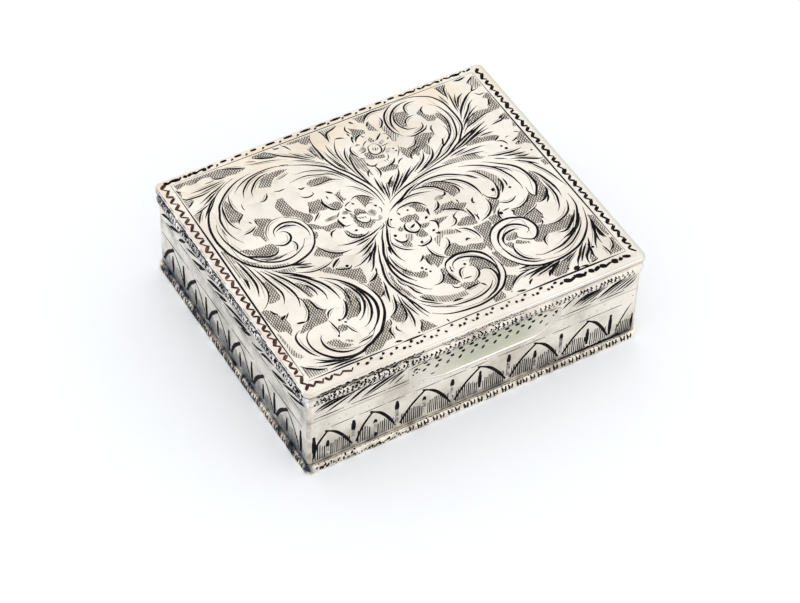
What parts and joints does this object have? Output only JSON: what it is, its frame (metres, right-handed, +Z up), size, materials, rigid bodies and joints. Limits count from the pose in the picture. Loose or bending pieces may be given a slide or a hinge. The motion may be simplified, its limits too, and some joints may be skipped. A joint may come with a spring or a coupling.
{
  "type": "hinged box",
  "caption": "Small rectangular silver box with a flat hinged lid, a moulded rim and foot, a flared thumbpiece on the front and a plain interior.",
  "frame": {"origin": "on the surface that the box stands on, under the middle of the lid plate", "axes": "+X along the long side, to the right when the thumbpiece faces the viewer; +Y from the front to the hinge; +Z up"},
  "size_m": [0.07, 0.0599, 0.0216],
  "materials": {
    "engraved_silver": "satin",
    "inner_silver": "satin",
    "joint_silver": "satin",
    "pin_wire": "satin"
  },
  "bodies": {
    "base": {"base_wall": "engraved_silver", "base_plate": "inner_silver", "foot_moulding": "engraved_silver", "closing_strip_front": "inner_silver", "closing_strip_left": "inner_silver", "closing_strip_right": "inner_silver", "base_bearer": "inner_silver", "base_knuckle_1": "joint_silver", "base_knuckle_2": "joint_silver", "base_knuckle_3": "joint_silver", "base_knuckle_4": "joint_silver", "base_knuckle_5": "joint_silver", "hinge_pin": "pin_wire"},
    "lid": {"lid_plate": "engraved_silver", "lid_wall": "engraved_silver", "lid_rim_moulding": "engraved_silver", "thumbpiece": "engraved_silver", "lid_bearer": "inner_silver", "lid_knuckle_1": "joint_silver", "lid_knuckle_2": "joint_silver", "lid_knuckle_3": "joint_silver", "lid_knuckle_4": "joint_silver"}
  },
  "joints": [
    {"name": "lid_hinge", "type": "hinge", "parent": "base", "child": "lid", "pos_m": [0, 0.0285, 0.0133], "axis": [-1, 0, 0], "range_deg": [0, 105]}
  ]
}
